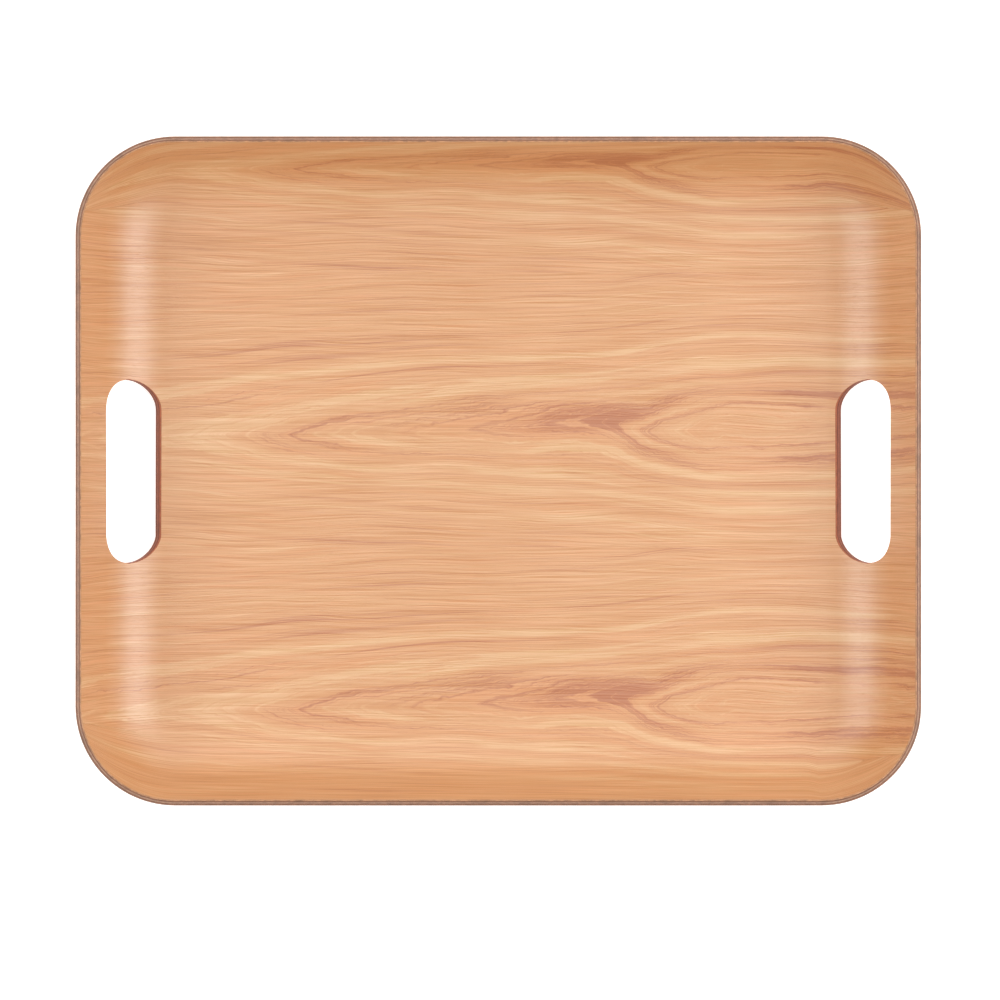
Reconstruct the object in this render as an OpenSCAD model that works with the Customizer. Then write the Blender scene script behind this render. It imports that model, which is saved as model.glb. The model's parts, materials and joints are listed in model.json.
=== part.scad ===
// Pressed laminated-veneer serving tray.
// Five layers of thin wood are glued and pressed over a form into one shallow shell:
// a spliced face veneer, a crossband, a core ply, a second crossband and a spliced back veneer.
// The floor is flat, one bend of constant radius turns it up into a straight flared wall, and
// each end wall has a slanted hand hole. +X runs along the tray from hand hole to hand hole,
// +Y to the rear, +Z up. The origin is on the table, under the middle of the tray.

/* [Tray] */
// Length over the rim, from one hand-hole end to the other
tray_length = 460; // [380:1:560]
// Depth over the rim, front to rear
tray_depth = 364; // [340:1:460]
// Height from the table to the top of the rim
tray_height = 48; // [38:1:60]
// Radius of the flat floor's own corners
floor_corner_r = 6; // [3:0.5:12]
// Radius of the bend between floor and wall, on the face
bend_r = 38; // [36:1:44]
// Slope of the wall above the bend, from the horizontal
wall_angle = 64.9; // [62:0.1:70]

/* [Plies] */
// Thickness of the face veneer and of the back veneer
veneer_t = 0.6; // [0.5:0.05:1]
// Thickness of each of the three plies between them
ply_t = 0.8; // [0.6:0.05:1.2]
// Width of the sliced veneer leaves that are spliced edge to edge
leaf_width = 152; // [130:1:170]
// How far the middle face leaf sits to the rear of the tray's centre line
face_leaf_shift = 34; // [20:1:45]

/* [Hand holes] */
// Length of each hand hole, along the end wall
hole_length = 101; // [90:1:120]
// Width of each hand hole, square to its cut
hole_width = 33.5; // [28:0.5:35]
// Slant of the cut, from the vertical
hole_slant = 45; // [35:1:48]
// How far round the bend the middle of the hole lies
hole_bend_angle = 35.5; // [33:0.5:37]

/* [Hidden] */
$fn = 180;

// Depth of each layer's upper side below the face, and the thickness of the whole sheet
crossband_top = veneer_t;
core_top = crossband_top + ply_t;
lower_crossband_top = core_top + ply_t;
back_top = lower_crossband_top + ply_t;
sheet_t = back_top + veneer_t;

// The wall's straight part makes up the height that the bend leaves, and its rim is cut square
bend_rise = bend_r * (1 - cos(wall_angle));
flare_length = (tray_height - sheet_t - bend_rise) / sin(wall_angle);
rim_run = (bend_r + sheet_t) * sin(wall_angle) + flare_length * cos(wall_angle);
wall_run = round(100 * rim_run) / 100;

// The flat floor reaches this far from the centre, and its corners turn about these points
floor_x = tray_length / 2 - wall_run;
floor_y = tray_depth / 2 - wall_run;
corner_x = floor_x - floor_corner_r;
corner_y = floor_y - floor_corner_r;

// The front and rear splice lines of the face and of the back, which stay clear of the corners
function between_corners(y) = max(1 - corner_y, min(corner_y - 1, y));
face_splices = [for (side = [-1, 1]) between_corners(face_leaf_shift + side * leaf_width / 2)];
back_splices = [for (side = [-1, 1]) between_corners(side * leaf_width / 2)];

// The hand hole's cut passes through the face here, seen from the start of the bend
hole_run = bend_r * sin(hole_bend_angle);
hole_rise = bend_r * (1 - cos(hole_bend_angle));
cutter_length = 60;

// Colours of the lacquered veneer and of the plies that show at the cut edges
face_colour = [0.90, 0.69, 0.52];
crossband_colour = [0.55, 0.36, 0.27];
core_colour = [0.72, 0.55, 0.44];
back_colour = [0.88, 0.68, 0.51];

// Section of one layer's wall, in the plane from the end of the floor outwards and up:
// the bend, then the straight flare to the square-cut rim
module wall_section(top, bottom) {
    reach = bend_r + bottom;
    translate([0, sheet_t + bend_r]) {
        difference() {
            circle(r = reach);
            circle(r = bend_r + top);
            translate([-reach, -reach])
                square([reach, 2 * reach]);
            rotate(wall_angle)
                translate([0, -reach])
                    square([reach, 2 * reach]);
            translate([-reach, 0])
                square([2 * reach, reach]);
        }
        rotate(wall_angle)
            translate([0, -reach])
                square([flare_length, bottom - top]);
    }
}

// A straight wall of a layer, along Y from `front` to `rear`, with its rim towards +X
module straight_wall(top, bottom, front, rear) {
    translate([0, rear, 0])
        rotate([90, 0, 0])
            linear_extrude(height = rear - front)
                wall_section(top, bottom);
}

// The round-ended slanted cut of one hand hole, seen from the end of the floor
module hand_hole_cut() {
    straight = hole_length - hole_width;
    translate([hole_run, 0, sheet_t + hole_rise])
        rotate([0, -hole_slant, 0])
            linear_extrude(height = cutter_length, center = true) {
                square([hole_width, straight], center = true);
                for (end = [-1, 1])
                    translate([0, end * straight / 2])
                        circle(d = hole_width);
            }
}

// A flat piece of a layer's floor, with one corner at [x, y]
module floor_piece(top, bottom, x, y, length, depth) {
    translate([x, y, sheet_t - bottom])
        cube([length, depth, bottom - top]);
}

// One corner of a layer, a quarter turn about its own upright axis, with its bit of floor
module corner_piece(top, bottom) {
    rotate_extrude(angle = 90) {
        translate([floor_corner_r, 0])
            wall_section(top, bottom);
        translate([0, sheet_t - bottom])
            square([floor_corner_r, bottom - top]);
    }
}

// The floor and both end walls of a layer, from `front` to `rear`, which lie between the corners
module middle_strip(top, bottom, front, rear) {
    floor_piece(top, bottom, -floor_x, front, 2 * floor_x, rear - front);
    for (side = [0, 1])
        mirror([side, 0, 0])
            translate([floor_x, 0, 0])
                difference() {
                    straight_wall(top, bottom, front, rear);
                    hand_hole_cut();
                }
}

// The +Y long side of a layer: its wall, both its corners and the floor between them
module long_side(top, bottom) {
    floor_piece(top, bottom, -corner_x, corner_y, 2 * corner_x, floor_corner_r);
    translate([0, floor_y, 0])
        rotate(90)
            straight_wall(top, bottom, -corner_x, corner_x);
    for (side = [0, 1])
        mirror([side, 0, 0])
            translate([corner_x, corner_y, 0])
                corner_piece(top, bottom);
}

// A layer in one sheet, from `top` to `bottom` below the face
module whole_layer(top, bottom) {
    middle_strip(top, bottom, -corner_y, corner_y);
    for (side = [0, 1])
        mirror([0, side, 0])
            long_side(top, bottom);
}

// The leaf of a layer that lies behind the line at `front`
module rear_leaf(top, bottom, front) {
    middle_strip(top, bottom, front, corner_y);
    long_side(top, bottom);
}

module face_leaf_rear() {
    color(face_colour)
        rear_leaf(0, crossband_top, face_splices[1]);
}

module face_leaf_middle() {
    color(face_colour)
        middle_strip(0, crossband_top, face_splices[0], face_splices[1]);
}

module face_leaf_front() {
    color(face_colour)
        mirror([0, 1, 0])
            rear_leaf(0, crossband_top, -face_splices[0]);
}

module upper_crossband() {
    color(crossband_colour)
        whole_layer(crossband_top, core_top);
}

module core_ply() {
    color(core_colour)
        whole_layer(core_top, lower_crossband_top);
}

module lower_crossband() {
    color(crossband_colour)
        whole_layer(lower_crossband_top, back_top);
}

module back_leaf_rear() {
    color(back_colour)
        rear_leaf(back_top, sheet_t, back_splices[1]);
}

module back_leaf_middle() {
    color(back_colour)
        middle_strip(back_top, sheet_t, back_splices[0], back_splices[1]);
}

module back_leaf_front() {
    color(back_colour)
        mirror([0, 1, 0])
            rear_leaf(back_top, sheet_t, -back_splices[0]);
}

face_leaf_rear();
face_leaf_middle();
face_leaf_front();
upper_crossband();
core_ply();
lower_crossband();
back_leaf_rear();
back_leaf_middle();
back_leaf_front();
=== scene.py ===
import json
import math

import bpy
import numpy as np
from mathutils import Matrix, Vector


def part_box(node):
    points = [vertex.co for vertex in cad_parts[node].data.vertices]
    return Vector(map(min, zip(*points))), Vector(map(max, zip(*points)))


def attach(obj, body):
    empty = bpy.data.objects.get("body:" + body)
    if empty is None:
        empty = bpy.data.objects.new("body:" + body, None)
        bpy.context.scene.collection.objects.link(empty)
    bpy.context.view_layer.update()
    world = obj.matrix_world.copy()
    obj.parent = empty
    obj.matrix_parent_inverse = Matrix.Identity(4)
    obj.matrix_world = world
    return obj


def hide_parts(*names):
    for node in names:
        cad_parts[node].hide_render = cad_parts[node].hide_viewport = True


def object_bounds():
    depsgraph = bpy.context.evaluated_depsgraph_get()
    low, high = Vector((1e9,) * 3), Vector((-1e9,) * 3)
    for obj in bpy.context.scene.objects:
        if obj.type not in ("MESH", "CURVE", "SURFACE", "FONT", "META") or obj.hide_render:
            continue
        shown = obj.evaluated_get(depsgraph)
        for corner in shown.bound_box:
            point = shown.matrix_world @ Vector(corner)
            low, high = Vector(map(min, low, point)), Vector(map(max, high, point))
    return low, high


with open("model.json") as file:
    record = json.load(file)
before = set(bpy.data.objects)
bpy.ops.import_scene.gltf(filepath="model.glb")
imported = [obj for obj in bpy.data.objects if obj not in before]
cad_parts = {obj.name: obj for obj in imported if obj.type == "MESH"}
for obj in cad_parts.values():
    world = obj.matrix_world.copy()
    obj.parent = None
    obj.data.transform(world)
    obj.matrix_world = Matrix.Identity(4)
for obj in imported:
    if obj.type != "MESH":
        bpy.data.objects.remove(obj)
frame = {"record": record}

cad_low, cad_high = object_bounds()

# ---------------------------------------------------------------------------------------------
# The tray's dimensions, in metres. What the frame can say is read from it.

MM = 0.001
FACE_LEAVES = ("face_leaf_front", "face_leaf_middle", "face_leaf_rear")
INNER_PLIES = ("upper_crossband", "core_ply", "lower_crossband")
BACK_LEAVES = ("back_leaf_front", "back_leaf_middle", "back_leaf_rear")
WALL_ANGLE = math.radians(64.9)
BEND_R = 38 * MM
FLOOR_CORNER_R = 6 * MM
HOLE_LENGTH = 101 * MM
HOLE_WIDTH = 33.5 * MM
HOLE_SLANT = math.radians(45)
HOLE_BEND_ANGLE = math.radians(35.5)
LEAF_WIDTH = 152 * MM
EDGE_EASE = 0.45 * MM  # sanded rounding of the rim and of the hand holes
GLUE_GROOVE = 0.06 * MM  # tiny bevel at each glue line of the cut edges
TINY = 1e-9  # slack when two places are compared

half_length = (cad_high.x - cad_low.x) / 2
half_depth = (cad_high.y - cad_low.y) / 2
rim_height = cad_high.z

# Depth below the face of the face itself and of each ply's underside
top_of_floor = frame["record"]["mounts"][1]["pos_m"][2]
stack = (FACE_LEAVES[1], *INNER_PLIES, BACK_LEAVES[1])
ply_depths = [0.0] + [round(top_of_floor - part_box(node)[0].z, 6) for node in stack]
sheet_t = ply_depths[-1]

bend_rise = BEND_R * (1 - math.cos(WALL_ANGLE))
flare_length = (rim_height - sheet_t - bend_rise) / math.sin(WALL_ANGLE)
wall_run = (BEND_R + sheet_t) * math.sin(WALL_ANGLE) + flare_length * math.cos(WALL_ANGLE)
floor_x = half_length - wall_run
floor_y = half_depth - wall_run
corner_x = floor_x - FLOOR_CORNER_R
corner_y = floor_y - FLOOR_CORNER_R

hole_r = HOLE_WIDTH / 2
hole_straight = HOLE_LENGTH / 2 - hole_r
hole_end = HOLE_LENGTH / 2
face_splices = [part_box(FACE_LEAVES[1])[i].y for i in (0, 1)]
back_splices = [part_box(BACK_LEAVES[1])[i].y for i in (0, 1)]

# ---------------------------------------------------------------------------------------------
# The sheet's shape. A place on it is given on the face: the point where its wall leaves the
# floor, the level direction in which the wall leans, and how far up the wall it lies.

PLACE = (
    "base_x", "base_y",  # where the wall leaves the flat floor
    "out_x", "out_y",  # level direction from there towards the rim, or nothing on the floor
    "flat",  # level distance past the base, negative while still on the floor
    "bend",  # angle that the bend has turned through
    "flare",  # distance up the straight flare
    "across",  # position across the hand hole's cutter, for places that follow its edge
    "pull",  # how far the place follows the slanted cut of the hand hole, from 0 to 1
    "rim",  # 1 on the rim
    "ease_across", "ease_y",  # direction away from the hand hole, on its edge
)  # fmt: skip


def place(base, out=(0, 0), flat=0.0, bend=0.0, flare=0.0, across=0.0, pull=0.0, ease=(0, 0)):
    rim = 1.0 if flare > flare_length - TINY else 0.0
    return (*base, *out, flat, bend, flare, across, pull, rim, *ease)


def bend_at_cut(across, depth):
    """The bend angle where the hand hole's cutter, at `across` its width, meets the surface at `depth`."""
    middle = BEND_R * math.sin(HOLE_BEND_ANGLE - HOLE_SLANT)
    return HOLE_SLANT + np.arcsin((across + middle) / (BEND_R + depth))


def surface(places, depth, inset=0.0):
    """Where the places lie at `depth` below the face, with the sheet's edges pulled in by `inset`."""
    p = dict(zip(PLACE, places.T))
    cut = bend_at_cut(p["across"] + inset * p["ease_across"], depth) - bend_at_cut(p["across"], 0)
    bend = p["bend"] + p["pull"] * cut
    flare = p["flare"] - inset * p["rim"]
    radius = BEND_R + depth
    run = p["flat"] + radius * np.sin(bend) + flare * math.cos(WALL_ANGLE)
    x = p["base_x"] + p["out_x"] * run
    y = p["base_y"] + p["out_y"] * run + inset * p["ease_y"]
    z = top_of_floor + BEND_R - radius * np.cos(bend) + flare * math.sin(WALL_ANGLE)
    return np.stack([x, y, z], axis=1)


# ---------------------------------------------------------------------------------------------
# The grid that every ply shares: stations up the wall, columns along the floor, rows across it.

FLOOR_STEPS = 2  # from the corners' centre line to the end of the floor
LOWER_STEPS = 9  # from the end of the floor to the middle of the hand hole
UPPER_STEPS = 8  # from the middle of the hand hole to the top of the bend
FLARE_STEPS = 7
CORNER_STEPS = 26
ROUND_STEPS = 12  # along a quarter of the hand hole's round end
ROW_SPACING = 5.2 * MM
COLUMN_SPACING = 8.5 * MM


def spaced(breaks, spacing):
    """Positions through every one of the sorted `breaks`, no further apart than `spacing`."""
    out = [breaks[0]]
    for a, b in zip(breaks, breaks[1:]):
        steps = max(1, math.ceil((b - a) / spacing - 1e-6))
        out += [a + (b - a) * i / steps for i in range(1, steps + 1)]
    return out


def grid_rows():
    """The rows across the tray, as (y at the hand hole's edge, y elsewhere, half the hole's width there)."""
    breaks = {-corner_y, corner_y, -hole_end, hole_end, -hole_straight, hole_straight}
    breaks = sorted(breaks | set(face_splices) | set(back_splices))
    rows = []
    for a, b in zip(breaks, breaks[1:]):
        near, far = sorted((abs(a), abs(b)))
        if hole_straight - TINY <= near and far <= hole_end + TINY:
            # In the round ends the rows fan out, evenly spaced round the curve at its edge
            turn = [math.copysign(math.asin(min(1, (abs(y) - hole_straight) / hole_r)), y) for y in (a, b)]
            steps = max(2, round(ROUND_STEPS * abs(turn[1] - turn[0]) / (math.pi / 2)))
            for i in range(steps + 1):
                t = turn[0] + (turn[1] - turn[0]) * i / steps
                y_edge = math.copysign(hole_straight, t) + hole_r * math.sin(t)
                rows.append((y_edge, a + (b - a) * i / steps, hole_r * math.cos(t)))
        else:
            half_width = hole_r if far < hole_end - TINY else 0.0
            rows += [(y, y, half_width) for y in spaced([a, b], ROW_SPACING)]
    unique = {round(row[1], 7): row for row in rows}
    return [unique[y] for y in sorted(unique)]


def stations():
    """(flat, bend, flare) of each station, from the corners' centre line up to the rim."""
    out = [(-FLOOR_CORNER_R * (1 - i / FLOOR_STEPS), 0.0, 0.0) for i in range(FLOOR_STEPS)]
    out += [(0.0, HOLE_BEND_ANGLE * i / LOWER_STEPS, 0.0) for i in range(LOWER_STEPS)]
    upper = WALL_ANGLE - HOLE_BEND_ANGLE
    out += [(0.0, HOLE_BEND_ANGLE + upper * i / UPPER_STEPS, 0.0) for i in range(UPPER_STEPS)]
    out += [(0.0, WALL_ANGLE, flare_length * i / FLARE_STEPS) for i in range(FLARE_STEPS + 1)]
    return out


STATIONS = stations()
ROWS = grid_rows()
COLUMNS = spaced([-corner_x, corner_x], COLUMN_SPACING)


def end_wall_row(side, row):
    """The places of one row of an end wall, as two runs: below the hand hole and above it."""
    y_edge, y_far, half_width = row
    opening = half_width > TINY
    follows = 1.0 if abs(y_far) < hole_end + TINY else 0.0
    round_y = max(0.0, abs(y_edge) - hole_straight) * math.copysign(1, y_edge)
    base = (side * floor_x, y_far)
    runs = []
    for sign in (-1, 1):
        edge = float(bend_at_cut(sign * half_width, 0)) if opening else HOLE_BEND_ANGLE
        normal = (sign * half_width / hole_r, round_y / hole_r) if follows else (0, 0)
        start = 0.0 if sign < 0 else WALL_ANGLE
        steps = LOWER_STEPS if sign < 0 else UPPER_STEPS
        run = []
        for i in range(steps + 1):
            share = i / steps if sign < 0 else 1 - i / steps  # 1 at the hole's edge
            near = share**2
            y = y_far + (y_edge - y_far) * near
            on_edge = follows and share > 1 - TINY
            run.append(
                place(
                    (side * floor_x, y),
                    (side, 0),
                    bend=start + (edge - start) * share,
                    across=sign * half_width,
                    pull=near * follows,
                    ease=normal if on_edge else (0, 0),
                )
            )
        if sign < 0:
            flats = [flat for flat, _, _ in STATIONS[:FLOOR_STEPS]]
            run = [place(base, (side, 0), flat=flat) for flat in flats] + run
        else:
            flares = [flare for _, _, flare in STATIONS[-FLARE_STEPS:]]
            run += [place(base, (side, 0), bend=WALL_ANGLE, flare=flare) for flare in flares]
        runs.append(run)
    return runs


class Sheet:
    """The places and faces of one leaf or ply."""

    def __init__(self):
        self.places = []
        self.faces = []
        self.known = {}

    def index(self, item):
        x, y, z = surface(np.array([item]), 0.0)[0]
        key = (round(x, 7), round(y, 7), round(z, 7))
        if key not in self.known:
            self.known[key] = len(self.places)
            self.places.append(item)
        return self.known[key]

    def patch(self, grid, flip):
        """Adds the faces of a grid of places, turned over if `flip`.

        They face up when the grid's lines run along +X and follow each other along +Y.
        """
        numbers = [[self.index(item) for item in line] for line in grid]
        for low, high in zip(numbers, numbers[1:]):
            for i in range(len(low) - 1):
                face = [low[i], low[i + 1], high[i + 1], high[i]]
                face = [v for k, v in enumerate(face) if v != face[k - 1]]
                if len(face) > 2:
                    self.faces.append(face[::-1] if flip else face)


def add_middle(sheet, front, rear):
    """The floor and both end walls between two splice lines."""
    rows = [row for row in ROWS if front - TINY <= row[1] <= rear + TINY]
    sheet.patch([[place((x, y_far)) for x in COLUMNS] for _, y_far, _ in rows], False)
    for side in (-1, 1):
        lines = [end_wall_row(side, row) for row in rows]
        for run in (0, 1):
            sheet.patch([line[run] for line in lines], side < 0)


def add_long_side(sheet, side_y):
    """One long wall with both its corners."""
    wall = []
    for flat, bend, flare in STATIONS:
        wall.append([place((x, side_y * floor_y), (0, side_y), flat, bend, flare) for x in COLUMNS])
    sheet.patch(wall, side_y < 0)
    for side_x in (-1, 1):
        corner = []
        for i in range(CORNER_STEPS + 1):
            turn = math.pi / 2 * i / CORNER_STEPS
            out = (side_x * math.cos(turn), side_y * math.sin(turn))
            base = (side_x * corner_x + FLOOR_CORNER_R * out[0], side_y * corner_y + FLOOR_CORNER_R * out[1])
            corner.append([place(base, out, *station) for station in STATIONS])
        sheet.patch(corner, side_x * side_y < 0)


def make_sheet(front=None, rear=None):
    """A whole ply, or the leaf of it between two splice lines. None means out to the rim."""
    sheet = Sheet()
    add_middle(sheet, -corner_y if front is None else front, corner_y if rear is None else rear)
    if front is None:
        add_long_side(sheet, -1)
    if rear is None:
        add_long_side(sheet, 1)
    return sheet


# ---------------------------------------------------------------------------------------------
# Grain coordinates: where each place lay in the flat veneer before it was pressed. In the
# corners the veneer of the long wall sweeps round and meets the end wall's at a closed dart.

SWEEP = 0.55  # how far the grain lines turn in towards the end walls
DART_RUN = 24 * MM  # the dart starts this far out from the corner's centre
DART_SLOPE = -0.26
DART_Y = {(-1, -1): 16 * MM, (1, -1): 31 * MM, (-1, 1): 20 * MM, (1, 1): 20 * MM}
FAR_FROM_DART = 20 * MM


def grain_coordinates(places):
    """(along, across swept, across plain) in the flat veneer, and the distance from the nearest dart."""
    p = dict(zip(PLACE, places.T))
    x, y, _ = surface(places, 0.0).T
    side_x, side_y = np.sign(x), np.sign(y)
    # Length of the veneer from the corners' centre lines, and the same seen from above
    arc = p["flat"] + FLOOR_CORNER_R + BEND_R * p["bend"] + p["flare"]
    bends = np.linspace(0, WALL_ANGLE, 40)
    plan_rim = FLOOR_CORNER_R + BEND_R * math.sin(WALL_ANGLE) + flare_length * math.cos(WALL_ANGLE)
    arc_rim = FLOOR_CORNER_R + BEND_R * WALL_ANGLE + flare_length
    past_rim = plan_rim - FLOOR_CORNER_R
    plan = [-1, 0, *(FLOOR_CORNER_R + BEND_R * np.sin(bends)), plan_rim, plan_rim + past_rim]
    arcs = [-1, 0, *(FLOOR_CORNER_R + BEND_R * bends), arc_rim, arc_rim + past_rim / math.cos(WALL_ANGLE)]
    on_wall = np.hypot(p["out_x"], p["out_y"]) > 0.5
    past_x = np.abs(x) - corner_x
    past_y = np.abs(y) - corner_y
    along = np.where(on_wall, side_x * (np.minimum(np.abs(x), corner_x) + arc * np.abs(p["out_x"])), x)
    plain = y
    sweep = 1 - SWEEP * (np.maximum(past_x, 0) / plan_rim) ** 2
    swept = np.where(past_y > 0, side_y * (corner_y + np.interp(past_y / sweep, plan, arcs)), y)
    dart_y = np.array([DART_Y[(1 if a > 0 else -1, 1 if b > 0 else -1)] for a, b in zip(x, y)])
    beside = past_y - dart_y - DART_SLOPE * (past_x - DART_RUN)
    short = np.maximum(0, DART_RUN - past_x)
    beside = np.where(past_x < 0, FAR_FROM_DART, np.where(past_y < 0, -FAR_FROM_DART, beside))
    dart = np.stack([beside, np.minimum(short, FAR_FROM_DART), 0 * x], axis=1)
    return np.stack([along, swept, plain], axis=1), dart


# ---------------------------------------------------------------------------------------------
# Meshes


def edge_profile(top, bottom, top_ease, bottom_ease):
    """(depth, inset) down a ply's cut edge, with both its edges rounded."""
    quarter = [math.pi / 2 * i / 4 for i in range(5)]
    down = [(top + top_ease * (1 - math.cos(t)), top_ease * (1 - math.sin(t))) for t in quarter]
    up = [(bottom - bottom_ease * (1 - math.cos(t)), bottom_ease * (1 - math.sin(t))) for t in quarter[::-1]]
    return down + up


def build(name, sheet, layer, centre, slip, number, materials):
    """A closed mesh of one leaf or ply, in place of the CAD node of the same name.

    `layer` counts down from the face, `centre` is the leaf's middle across the grain, `slip` how
    far its figure is moved along the grain, and `number` which slice of the log it is.
    """
    places = np.array(sheet.places)
    top, bottom = ply_depths[layer], ply_depths[layer + 1]
    last = len(ply_depths) - 2
    profile = edge_profile(
        top, bottom, EDGE_EASE if layer == 0 else GLUE_GROOVE, EDGE_EASE if layer == last else GLUE_GROOVE
    )

    count = len(places)
    directed = {pair for face in sheet.faces for pair in zip(face, face[1:] + face[:1])}
    border = sorted(pair for pair in directed if pair[::-1] not in directed)
    border_places = sorted({v for pair in border for v in pair})
    slot_of = {v: i for i, v in enumerate(border_places)}

    points = [surface(places, top, profile[0][1]), surface(places, bottom, profile[-1][1])]
    points += [surface(places[border_places], depth, inset) for depth, inset in profile[1:-1]]
    source = np.concatenate([np.arange(count)] * 2 + [border_places] * (len(profile) - 2))
    rings = [lambda v: v]
    for i in range(len(profile) - 2):
        rings.append(lambda v, i=i: 2 * count + i * len(border_places) + slot_of[v])
    rings.append(lambda v: count + v)

    faces = [list(face) for face in sheet.faces]
    faces += [[count + v for v in face[::-1]] for face in sheet.faces]
    flat_count = len(faces)
    for upper, lower in zip(rings, rings[1:]):
        faces += [[upper(b), upper(a), lower(a), lower(b)] for a, b in border]

    mesh = bpy.data.meshes.new(name)
    mesh.from_pydata(np.concatenate(points).tolist(), [], faces)
    for material in materials:
        mesh.materials.append(material)
    in_hole = [bool(places[a][PLACE.index("ease_across"):].any()) for a, _ in border]
    edge_slots = [2 if hole else 1 for hole in in_hole] * (len(profile) - 1)
    mesh.polygons.foreach_set("material_index", [0] * flat_count + edge_slots)
    mesh.polygons.foreach_set("use_smooth", [True] * len(faces))

    grain, dart = grain_coordinates(places)
    grain = grain[source] + np.array([slip, 0, 0]) - np.array([0, centre, centre])
    mesh.attributes.new("grain", "FLOAT_VECTOR", "POINT").data.foreach_set("vector", grain.ravel())
    mesh.attributes.new("dart", "FLOAT_VECTOR", "POINT").data.foreach_set("vector", dart[source].ravel())
    mesh.attributes.new("slice", "FLOAT", "POINT").data.foreach_set("value", [float(number)] * len(source))
    mesh.validate()
    mesh.update()
    mesh.set_sharp_from_angle(angle=math.radians(34))

    piece = bpy.data.objects.new(name + "_skin", mesh)
    bpy.context.scene.collection.objects.link(piece)
    normals = piece.modifiers.new("even shading", "WEIGHTED_NORMAL")
    normals.keep_sharp = True
    normals.weight = 90
    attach(piece, "root")
    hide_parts(name)
    return piece


# ---------------------------------------------------------------------------------------------
# Materials


def linear(red, green, blue):
    """A colour given as 0 to 255 on a screen, as the linear values that a shader takes."""
    shares = [v / 255 for v in (red, green, blue)]
    levels = [v / 12.92 if v < 0.04 else ((v + 0.055) / 1.055) ** 2.4 for v in shares]
    return (*levels, 1)


class Nodes:
    """Builds a node tree with plain calls. A value may be a number, a colour or another node's socket."""

    def __init__(self, tree):
        self.tree = tree

    def set(self, socket, value):
        if isinstance(value, bpy.types.NodeSocket):
            self.tree.links.new(value, socket)
        else:
            socket.default_value = value

    def add(self, kind, inputs=(), **settings):
        node = self.tree.nodes.new(kind)
        for key, value in settings.items():
            setattr(node, key, value)
        for key, value in dict(inputs).items():
            self.set(node.inputs[key], value)
        return node

    def math(self, operation, *values, clamp=False):
        node = self.add("ShaderNodeMath", enumerate(values), operation=operation, use_clamp=clamp)
        return node.outputs[0]

    def vector(self, x, y, z=0.0):
        return self.add("ShaderNodeCombineXYZ", {0: x, 1: y, 2: z}).outputs[0]

    def divided(self, values, lengths):
        """A vector of the values, each counted in its own length."""
        return self.vector(*[self.math("DIVIDE", v, length) for v, length in zip(values, lengths)])

    def scaled(self, vector, factor):
        return self.add("ShaderNodeVectorMath", {0: vector, "Scale": factor}, operation="SCALE").outputs[0]

    def noise(self, vector, detail=2.0, roughness=0.5):
        """Smooth noise from 0 to 1 with features about as large as the vector's own unit."""
        inputs = {"Vector": vector, "Scale": 1.0, "Detail": detail, "Roughness": roughness}
        return self.add("ShaderNodeTexNoise", inputs).outputs["Fac"]

    def between(self, value, low, high, to_low=0.0, to_high=1.0):
        """Goes smoothly from `to_low` to `to_high` while the value goes from `low` to `high`."""
        inputs = {"Value": value, 1: low, 2: high, 3: to_low, 4: to_high}
        node = self.add("ShaderNodeMapRange", inputs, interpolation_type="SMOOTHSTEP")
        return node.outputs[0]

    def mix(self, share, a, b):
        node = self.add("ShaderNodeMix", {0: share, 6: a, 7: b}, data_type="RGBA")
        return node.outputs[2]

    def curve(self, value, low, high, points):
        """A smooth curve through `points`, (where, value) pairs with values from 0 to 1."""
        where = self.math("DIVIDE", self.math("SUBTRACT", value, low), high - low)
        node = self.add("ShaderNodeFloatCurve", {"Value": where})
        curve = node.mapping.curves[0]
        for i, (at, level) in enumerate(points):
            spot = ((at - low) / (high - low), level)
            if i < 2:
                curve.points[i].location = spot
            else:
                curve.points.new(*spot)
        node.mapping.update()
        return node.outputs[0]


def start_material(name):
    material = bpy.data.materials.new(name)
    material.use_nodes = True
    nodes = Nodes(material.node_tree)
    shader = material.node_tree.nodes["Principled BSDF"]
    return material, nodes, shader


def veneer_position(n):
    """Millimetres along and across the grain in the flat veneer, and from the dart, and the slice."""
    grain = n.add("ShaderNodeAttribute", attribute_name="grain").outputs["Vector"]
    dart = n.add("ShaderNodeAttribute", attribute_name="dart").outputs["Vector"]
    number = n.add("ShaderNodeAttribute", attribute_name="slice").outputs["Fac"]
    along, swept, plain = n.add("ShaderNodeSeparateXYZ", {0: n.scaled(grain, 1 / MM)}).outputs
    beside, short, _ = n.add("ShaderNodeSeparateXYZ", {0: n.scaled(dart, 1 / MM)}).outputs
    # The two veneers change over sharply at the dart, and gradually before it starts
    share = n.between(n.math("DIVIDE", beside, n.math("MAXIMUM", short, 0.05)), -1, 1)
    across = n.math("MULTIPLY_ADD", n.math("SUBTRACT", swept, plain), share, plain)
    gap = n.math("ADD", n.math("ABSOLUTE", beside), short)
    return along, across, gap, number


# The wood's own colours
CREAM = (211, 162, 108)
TAN = (201, 140, 81)
BROWN = (172, 95, 32)
REDDISH = (205, 134, 72)

# How strongly each colour channel takes part where the fibres are dark: brown, not grey
DARK_WOOD_DEPTH = (0.72, 1.12, 1.9)

# The figure of the leaves, in millimetres from the tray's middle along the grain and from the
# leaf's middle across it. The growth rings run as long flames round a line a little below the
# middle: RING_AT_MIDDLE is the ring that the middle line cuts.
FIGURE_MIDDLE = -10
MIDDLE_LEAN = [(-240, -6), (-100, -4), (0, 1), (55, 4), (85, -1), (110, -1), (130, 2), (240, 2)]
RING_AT_MIDDLE = [
    (-240, 41), (-178, 38), (-104, 30), (0, 22.5), (38, 20.5), (56, 19),
    (76, 14.5), (102, 7.4), (124, 3), (150, 3), (190, 5), (240, 8),
]  # fmt: skip
FLAME_POINT = 1.45  # 2 gives round flames, nearer 1 gives pointed ones
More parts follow.
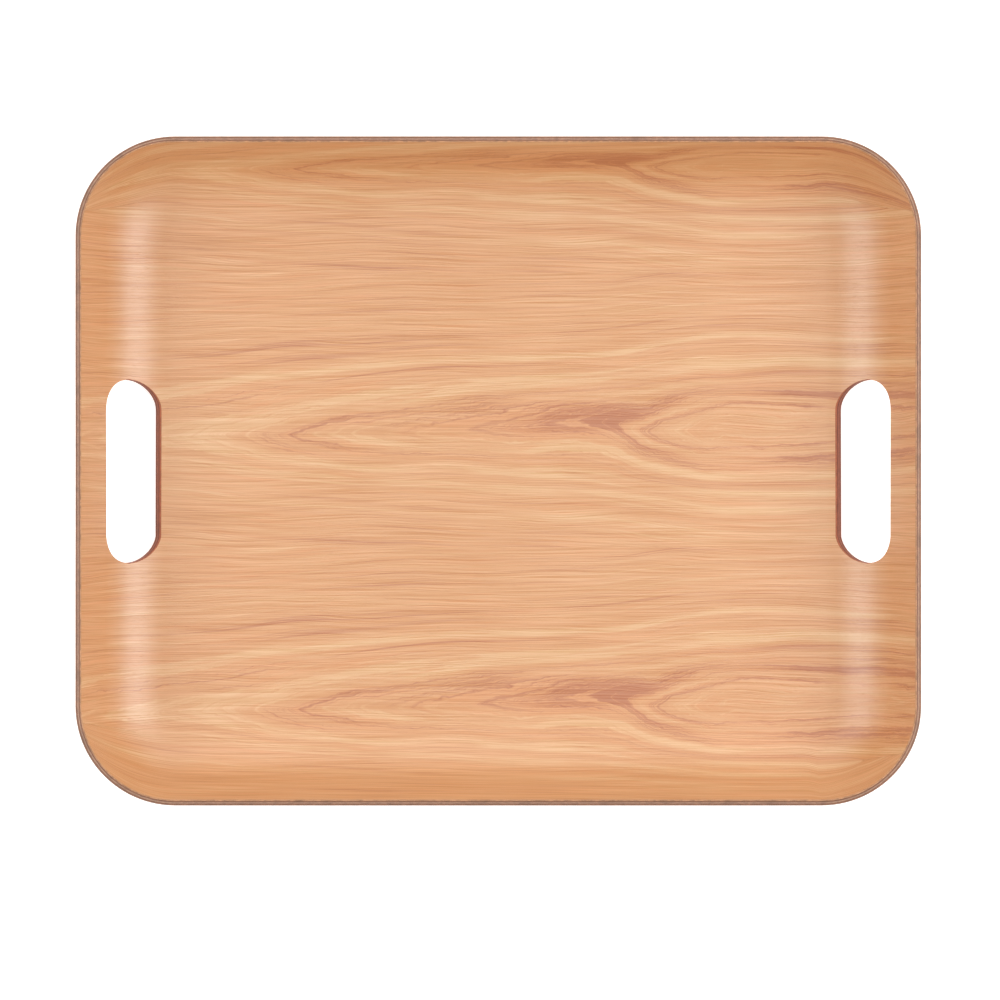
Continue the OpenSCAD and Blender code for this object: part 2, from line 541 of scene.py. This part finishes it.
# How light the wood is at each ring, from 0 to 1, above and below the middle line
RINGS_ABOVE = [
    (0, 0.62), (5, 0.56), (8, 0.62), (11, 0.58), (13, 0.24), (15, 0.62), (16.5, 0.50), (18, 0.18),
    (20, 0.22), (22, 0.40), (25, 0.46), (28, 0.58), (30, 0.36), (33, 0.58), (38, 0.86), (42, 0.50),
    (47, 0.44), (50, 0.80), (54, 0.50), (64, 0.48), (72, 0.56), (84, 0.48), (100, 0.5),
]  # fmt: skip
RINGS_BELOW = [
    (0, 0.62), (5, 0.56), (8, 0.62), (11, 0.58), (13, 0.24), (15, 0.60), (17, 0.44), (18.5, 0.2),
    (20, 0.32), (24, 0.42), (28.5, 0.80), (31, 0.42), (35, 0.54), (38, 0.84), (42, 0.52), (46, 0.78),
    (50, 0.48), (60, 0.64), (66, 0.48), (80, 0.5), (100, 0.5),
]  # fmt: skip

# The reddish clouding before the inner flame: its middle and how far it reaches each way
BLUSH_MIDDLE = (25, -4)
BLUSH_REACH = (66, 11)


def ring_figure(n, along, across, number):
    """(ring, across with the fibres' wander, how light the wood is) for flat-cut veneer."""
    broad = n.noise(n.divided((along, across, number), (115, 30, 1)), 1)
    close = n.noise(n.divided((along, across, number), (55, 10, 1)), 3)
    wander = n.math("ADD", n.math("MULTIPLY_ADD", broad, 8, -4), n.math("MULTIPLY_ADD", close, 2.4, -1.2))
    from_middle = n.math("ADD", n.math("SUBTRACT", across, FIGURE_MIDDLE), wander)
    near = n.between(n.math("ABSOLUTE", from_middle), 8, 36, 1, 0)
    lean = n.curve(along, -240, 240, [(x, 0.5 + v / 20) for x, v in MIDDLE_LEAN])
    lean = n.math("MULTIPLY_ADD", lean, 20, -10)
    jag = n.noise(n.divided((along, across, number), (15, 5, 1)), 3, 0.6)
    shift = n.math("MULTIPLY_ADD", jag, 5, n.math("SUBTRACT", -2.5, lean))
    offset = n.math("MULTIPLY_ADD", shift, near, from_middle)
    at_middle = n.math("MULTIPLY", n.curve(along, -240, 240, [(x, v / 60) for x, v in RING_AT_MIDDLE]), 60)
    distance = n.math("POWER", n.math("ABSOLUTE", offset), FLAME_POINT)
    ring = n.math("POWER", n.math("ADD", distance, n.math("POWER", at_middle, FLAME_POINT)), 1 / FLAME_POINT)
    above = n.curve(ring, 0, 100, RINGS_ABOVE)
    below = n.curve(ring, 0, 100, RINGS_BELOW)
    side = n.between(offset, -5, 5)
    light = n.math("MULTIPLY_ADD", n.math("SUBTRACT", above, below), side, below)
    # Each ring fades and comes back along its length
    strength = n.between(n.noise(n.divided((along, ring, number), (50, 5, 1))), 0.36, 0.6, 0.65, 1.35)
    light = n.math("MULTIPLY_ADD", n.math("SUBTRACT", light, 0.5), strength, 0.5)
    return ring, n.math("ADD", across, wander), light


def add_veneer(name, shift, tint):
    """A leaf of sliced veneer under satin lacquer. `shift` picks another part of the log."""
    material, n, shader = start_material(name)
    along, across, gap, number = veneer_position(n)
    along = n.math("ADD", along, shift)
    ring, fibre_line, light = ring_figure(n, along, across, number)

    def streaks(coordinate, length, width, detail, roughness=0.5):
        """Noise drawn out along the grain, centred on 0."""
        where = n.divided((along, coordinate, number), (length, width, 1))
        return n.math("SUBTRACT", n.noise(where, detail, roughness), 0.5)

    lines = streaks(ring, 130, 0.6, 3, 0.7)
    bands = streaks(ring, 160, 3.2, 2)
    cloud = streaks(across, 110, 26, 2)
    rouge = streaks(ring, 60, 1.6, 3, 0.6)
    threads = streaks(fibre_line, 100, 0.6, 2, 0.65)
    fibre = streaks(fibre_line, 60, 0.36, 2, 0.6)
    pore = n.between(streaks(fibre_line, 5, 0.3, 1), 0.12, 0.26)

    blush_along = n.math("DIVIDE", n.math("SUBTRACT", along, BLUSH_MIDDLE[0]), BLUSH_REACH[0])
    blush_across = n.math("DIVIDE", n.math("SUBTRACT", fibre_line, BLUSH_MIDDLE[1]), BLUSH_REACH[1])
    spread = n.math("ADD", n.math("POWER", blush_along, 2), n.math("POWER", blush_across, 2))
    blush = n.between(spread, 0, 1.3, 1, 0)

    tone = n.math("MULTIPLY_ADD", bands, 0.8, n.math("MULTIPLY_ADD", blush, -0.2, light))
    tone = n.math("MULTIPLY_ADD", cloud, 0.5, tone)
    tone = n.math("MULTIPLY_ADD", lines, 1.5, tone, clamp=True)
    flush = n.math("MULTIPLY_ADD", rouge, 2.0, n.math("MULTIPLY_ADD", blush, 0.25, 0.5))
    flush = n.math("MULTIPLY_ADD", cloud, 0.9, flush)
    flush = n.math("MULTIPLY_ADD", light, -0.5, flush)
    wood = n.mix(n.between(tone, 0.5, 1.0), linear(*TAN), linear(*CREAM))
    wood = n.mix(n.math("MULTIPLY", n.between(flush, 0.1, 0.8), 0.65), wood, linear(*REDDISH))
    wood = n.mix(n.between(tone, 0.45, 0.0), wood, linear(*BROWN))
    shade = n.math("MULTIPLY_ADD", threads, 0.8, n.math("MULTIPLY_ADD", fibre, 0.7, 1))
    shade = n.math("MULTIPLY_ADD", pore, -0.13, shade)
    dark_joint = n.math("MULTIPLY", n.between(gap, 0.05, 0.3, 1, 0), 0.2)
    shade = n.math("SUBTRACT", shade, dark_joint)
    darkening = n.math("SUBTRACT", shade, 1)
    stain = n.add("ShaderNodeCombineColor")
    for channel, (share, depth) in enumerate(zip(tint, DARK_WOOD_DEPTH)):
        n.set(stain.inputs[channel], n.math("MULTIPLY_ADD", darkening, share * depth, share))
    stained = n.add(
        "ShaderNodeMix", {0: 1.0, 6: wood, 7: stain.outputs[0]}, data_type="RGBA", blend_type="MULTIPLY"
    )
    n.set(shader.inputs["Base Color"], stained.outputs[2])

    smear = n.noise(n.divided((along, across, number), (60, 25, 1)))
    satin = n.math("MULTIPLY_ADD", smear, 0.06, 0.42)
    n.set(shader.inputs["Roughness"], n.math("MULTIPLY_ADD", fibre, 0.2, satin))
    height = n.math("MULTIPLY_ADD", fibre, 0.8, n.math("MULTIPLY", threads, 1.9))
    height = n.math("MULTIPLY_ADD", pore, -0.4, height)
    bump = n.add("ShaderNodeBump", {"Strength": 0.9, "Distance": 0.08 * MM, "Height": height})
    n.set(shader.inputs["Normal"], bump.outputs[0])
    n.set(shader.inputs["Coat Normal"], bump.outputs[0])
    shader.inputs["Specular IOR Level"].default_value = 1.0
    # The lacquer gleams on the ridges of the fibres and sinks into the lines between them
    ridges = n.math("MULTIPLY_ADD", threads, 0.7, fibre)
    n.set(shader.inputs["Coat Weight"], n.between(ridges, -0.2, 0.15, 0.4, 1))
    shader.inputs["Coat IOR"].default_value = 2.1
    shader.inputs["Coat Roughness"].default_value = 0.56
    return material


def add_cut_edge(name, colour, dark):
    """The sawn and sanded edge of a ply, with fibres and glue stains along it."""
    material, n, shader = start_material(name)
    where = n.add("ShaderNodeTexCoord").outputs["Object"]
    at = n.add("ShaderNodeSeparateXYZ", {0: n.scaled(where, 1 / MM)}).outputs
    fibre = n.noise(n.divided(at, (3, 3, 0.15)), 3, 0.6)
    patch = n.noise(n.divided(at, (14, 14, 4)), 3, 0.55)
    grit = n.noise(n.divided(at, (0.5, 0.5, 0.3)))
    shade = n.math("MULTIPLY_ADD", fibre, 0.5, n.math("MULTIPLY", grit, 0.3))
    worn = n.mix(n.between(shade, 0.25, 0.55), linear(*dark), linear(*colour))
    stain = n.between(patch, 0.52, 0.68)
    n.set(shader.inputs["Base Color"], n.mix(n.math("MULTIPLY", stain, 0.55), worn, linear(*dark)))
    n.set(shader.inputs["Roughness"], n.math("MULTIPLY_ADD", grit, 0.25, 0.5))
    bump = n.add("ShaderNodeBump", {"Strength": 0.4, "Distance": 0.05 * MM, "Height": shade})
    n.set(shader.inputs["Normal"], bump.outputs[0])
    return material


# ---------------------------------------------------------------------------------------------
# The tray

face_wood = add_veneer("face_veneer_wood", 0, (1, 1, 1))
back_wood = add_veneer("back_veneer_wood", 41, (0.97, 0.95, 0.93))


def add_edges(name, colour):
    """The materials of a ply's edge on the rim, and in the hand holes, where the edge colour is made darker
    and redder.
    """
    dark = [0.68 * v for v in colour]
    # In the hand holes the edge colour is made darker and redder: red times 0.93, green 0.70, blue 0.62
    hole_edge_tone = [v * share for v, share in zip(colour, (0.93, 0.70, 0.62))]
    return (
        add_cut_edge(name + "_rim_edge", colour, dark),
        add_cut_edge(name + "_hand_hole_edge", hole_edge_tone, [0.7 * v for v in hole_edge_tone]),
    )


face_edges = add_edges("face_veneer", (205, 152, 112))
crossband_edges = add_edges("crossband", (154, 104, 77))
core_edges = add_edges("core", (192, 151, 126))
back_edges = add_edges("back_veneer", (180, 143, 122))


# How far each leaf slipped along the grain when it was spliced, from front to rear, and which
# slice of the log it is: neighbours are nearly the same slice, so their figure is nearly the same
FACE_SLIPS = (-5 * MM, 0, -3 * MM)
FACE_SLICES = (0.06, 0, 0.05)
BACK_SLIPS = (4 * MM, 0, -4 * MM)
BACK_SLICES = (3.05, 3, 3.04)


def leaf_row(names, layer, splices, slips, numbers, materials):
    """The leaves of one veneer, cut from the same log one after the other and edge-jointed."""
    middle = sum(splices) / 2
    for name, centre, slip, number, lines in zip(
        names,
        (splices[0] - LEAF_WIDTH / 2, middle, splices[1] + LEAF_WIDTH / 2),
        slips,
        numbers,
        ((None, splices[0]), tuple(splices), (splices[1], None)),
    ):
        build(name, make_sheet(*lines), layer, centre, slip, number, materials)


leaf_row(FACE_LEAVES, 0, face_splices, FACE_SLIPS, FACE_SLICES, (face_wood, *face_edges))
build(INNER_PLIES[0], make_sheet(), 1, 0, 0, 5, crossband_edges[:1] + crossband_edges)
build(INNER_PLIES[1], make_sheet(), 2, 0, 0, 6, core_edges[:1] + core_edges)
build(INNER_PLIES[2], make_sheet(), 3, 0, 0, 7, crossband_edges[:1] + crossband_edges)
leaf_row(BACK_LEAVES, 4, back_splices, BACK_SLIPS, BACK_SLICES, (back_wood, *back_edges))

# ---------------------------------------------------------------------------------------------
# Studio


def add_area_light(name, position, target, size, power):
    """A softbox that faces `target` and that the camera doesn't see."""
    light = bpy.data.lights.new(name, "AREA")
    light.shape = "RECTANGLE"
    light.size, light.size_y = size
    light.energy = power
    lamp = bpy.data.objects.new(name, light)
    lamp.location = position
    direction = Vector(target) - Vector(position)
    lamp.rotation_euler = direction.to_track_quat("-Z", "Y").to_euler()
    lamp.visible_camera = False
    bpy.context.scene.collection.objects.link(lamp)


def add_floor():
    material, n, shader = start_material("studio_floor")
    where = n.add("ShaderNodeTexCoord").outputs["Object"]
    mottle = n.noise(n.scaled(where, 3.0))
    n.set(shader.inputs["Base Color"], n.mix(mottle, linear(240, 240, 240), linear(246, 246, 245)))
    shader.inputs["Roughness"].default_value = 0.8
    shader.inputs["Emission Color"].default_value = (1, 1, 1, 1)
    shader.inputs["Emission Strength"].default_value = 0.45
    # Seen from below the floor is clear, so that the tray's underside can be looked at
    clear = n.add("ShaderNodeBsdfTransparent").outputs[0]
    facing_away = n.add("ShaderNodeNewGeometry").outputs["Backfacing"]
    mixed = n.add("ShaderNodeMixShader", {0: facing_away, 1: shader.outputs[0], 2: clear}).outputs[0]
    n.set(material.node_tree.nodes["Material Output"].inputs["Surface"], mixed)
    mesh = bpy.data.meshes.new("studio_floor")
    reach, gap = 4.0, 0.2 * MM
    corners = [(x * reach, y * reach, -gap) for x, y in ((-1, -1), (1, -1), (1, 1), (-1, 1))]
    mesh.from_pydata(corners, [], [(0, 1, 2, 3)])
    mesh.materials.append(material)
    floor = bpy.data.objects.new("studio_floor", mesh)
    bpy.context.scene.collection.objects.link(floor)


add_floor()
# Low soft light from all round: the side boxes give the bends of the end walls their highlight
add_area_light("left_softbox", (-1.15, 0, 1.1), (0, 0, 0), (1.2, 1.3), 16)
add_area_light("right_softbox", (1.15, 0, 1.1), (0, 0, 0), (1.2, 1.3), 20)
add_area_light("rear_softbox", (0, 2.0, 1.0), (0, 0, 0), (2.6, 1.4), 17)
add_area_light("front_softbox", (0, -2.0, 1.0), (0, 0, 0), (2.6, 1.4), 5.5)

world = bpy.data.worlds.new("studio")
world.use_nodes = True
world.node_tree.nodes["Background"].inputs["Color"].default_value = (1, 1, 1, 1)
world.node_tree.nodes["Background"].inputs["Strength"].default_value = 0.33
bpy.context.scene.world = world
bpy.context.scene.view_settings.view_transform = "Standard"

# The photo is taken from straight above, just in front of the tray's middle
camera_data = bpy.data.cameras.new("camera")
camera_data.lens = 157.5
camera_data.sensor_width = 36
camera = bpy.data.objects.new("camera", camera_data)
camera.location = (0.9 * MM, -15.8 * MM, 2.424)
bpy.context.scene.collection.objects.link(camera)
bpy.context.scene.camera = camera
